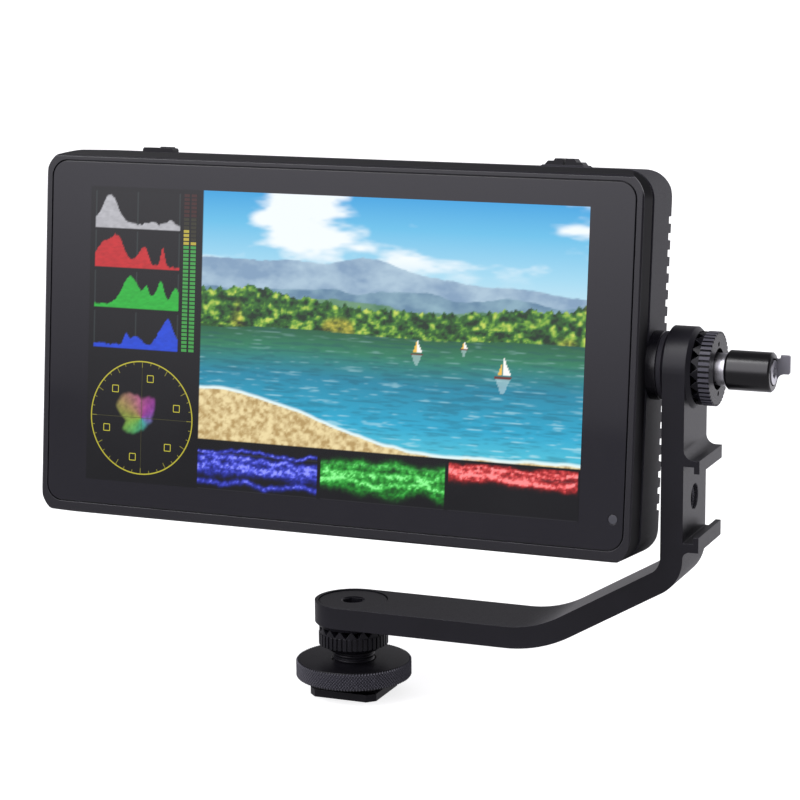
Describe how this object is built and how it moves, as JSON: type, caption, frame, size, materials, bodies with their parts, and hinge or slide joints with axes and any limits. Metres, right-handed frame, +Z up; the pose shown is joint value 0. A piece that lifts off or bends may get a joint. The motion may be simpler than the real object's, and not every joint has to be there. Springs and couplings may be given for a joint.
{
  "type": "field monitor on a tilt arm",
  "caption": "Camera-top field monitor with a touch screen, on a bent arm that tilts and swivels, ending in a shoe foot with a clamping wheel.",
  "frame": {"origin": "middle of the shoe foot's underside", "axes": "+Z up along the swivel axis, +X to the right seen from the screen side and along the tilt axis, the screen faces -Y"},
  "size_m": [0.1911, 0.0366, 0.1384],
  "materials": {
    "arm_paint": "black anodised, satin",
    "foot_steel": "blackened, satin",
    "ring_metal": "dark anodised, satin",
    "silver": "turned, bright",
    "grip": "black, semi-gloss",
    "tab": "satin",
    "frame_paint": "black, satin",
    "housing_paint": "dark grey, fine satin",
    "cover_glass": "glossy",
    "display": "lit picture",
    "board": "solder mask",
    "tin": "tinned",
    "brass": "plain",
    "black_plastic": "fine texture",
    "washer": "fibre",
    "lens": "smoked"
  },
  "bodies": {
    "foot": {"foot_plate": "foot_steel", "foot_stud": "foot_steel", "swivel_screw": "foot_steel"},
    "clamp": {"clamp_plate": "foot_steel"},
    "wheel": {"clamp_wheel": "foot_steel"},
    "swivel_nut": {"swivel_ring": "ring_metal"},
    "arm": {"tilt_arm": "arm_paint"},
    "monitor": {"tilt_hub": "foot_steel", "friction_washer": "washer", "front_frame": "frame_paint", "touch_glass": "cover_glass", "display_panel": "display", "rear_housing": "housing_paint", "main_board": "board", "shield_can": "tin", "board_screws": "tin", "key_switches": "black_plastic", "hdmi_sockets": "tin", "phone_jack": "black_plastic", "usb_socket": "tin", "power_socket": "black_plastic", "thread_inserts": "brass", "housing_screws": "foot_steel", "light_sensor": "lens", "battery_plate": "black_plastic", "battery_contacts": "brass"},
    "tilt_nut": {"tilt_ring": "ring_metal"},
    "lock_screw": {"lock_shaft": "silver"},
    "lock_knob": {"lock_grip": "grip", "lock_cap": "silver", "lock_tab": "tab"},
    "latch": {"battery_latch": "black_plastic"},
    "power_button": {"power_key": "black_plastic"},
    "left_button": {"user_key_left": "black_plastic"},
    "right_button": {"user_key_right": "black_plastic"}
  },
  "joints": [
    {"name": "clamp_lift", "type": "slide", "parent": "foot", "child": "clamp", "axis": [0, 0, 1], "range_m": [-0.001, 0.0025]},
    {"name": "wheel_turn", "type": "hinge", "parent": "clamp", "child": "wheel", "pos_m": [0, 0, 0.006], "axis": [0, 0, 1], "range_deg": [-289, 721]},
    {"name": "swivel_nut_turn", "type": "hinge", "parent": "foot", "child": "swivel_nut", "pos_m": [0, 0, 0.015], "axis": [0, 0, 1], "range_deg": [-90, 0]},
    {"name": "swivel", "type": "hinge", "parent": "foot", "child": "arm", "pos_m": [0, 0, 0.02], "axis": [0, 0, 1], "continuous": true},
    {"name": "tilt", "type": "hinge", "parent": "arm", "child": "monitor", "pos_m": [0.087, 0, 0.09], "axis": [1, 0, 0], "continuous": true},
    {"name": "tilt_nut_turn", "type": "hinge", "parent": "monitor", "child": "tilt_nut", "pos_m": [0.093, 0, 0.09], "axis": [1, 0, 0], "range_deg": [0, 90]},
    {"name": "lock_draw", "type": "slide", "parent": "monitor", "child": "lock_screw", "axis": [1, 0, 0], "range_m": [0, 0.0038]},
    {"name": "lock_turn", "type": "hinge", "parent": "lock_screw", "child": "lock_knob", "pos_m": [0.103, 0, 0.09], "axis": [1, 0, 0], "range_deg": [0, 1080]},
    {"name": "latch_slide", "type": "slide", "parent": "monitor", "child": "latch", "axis": [0, -0.1063, -0.9943], "range_m": [0, 0.003], "stiffness_N_per_m": 150, "springref_m": -0.003},
    {"name": "power_press", "type": "slide", "parent": "monitor", "child": "power_button", "axis": [0, -0.1063, -0.9943], "range_m": [0, 0.0005], "stiffness_N_per_m": 800, "springref_m": -0.0005},
    {"name": "left_press", "type": "slide", "parent": "monitor", "child": "left_button", "axis": [0, -0.1063, -0.9943], "range_m": [0, 0.0005], "stiffness_N_per_m": 800, "springref_m": -0.0005},
    {"name": "right_press", "type": "slide", "parent": "monitor", "child": "right_button", "axis": [0, -0.1063, -0.9943], "range_m": [0, 0.0005], "stiffness_N_per_m": 800, "springref_m": -0.0005}
  ],
  "couplings": [
    {"joint": "wheel_turn", "follows": "clamp_lift", "rad_per_m": 5026.5},
    {"joint": "lock_turn", "follows": "lock_draw", "rad_per_m": 4947.4}
  ]
}
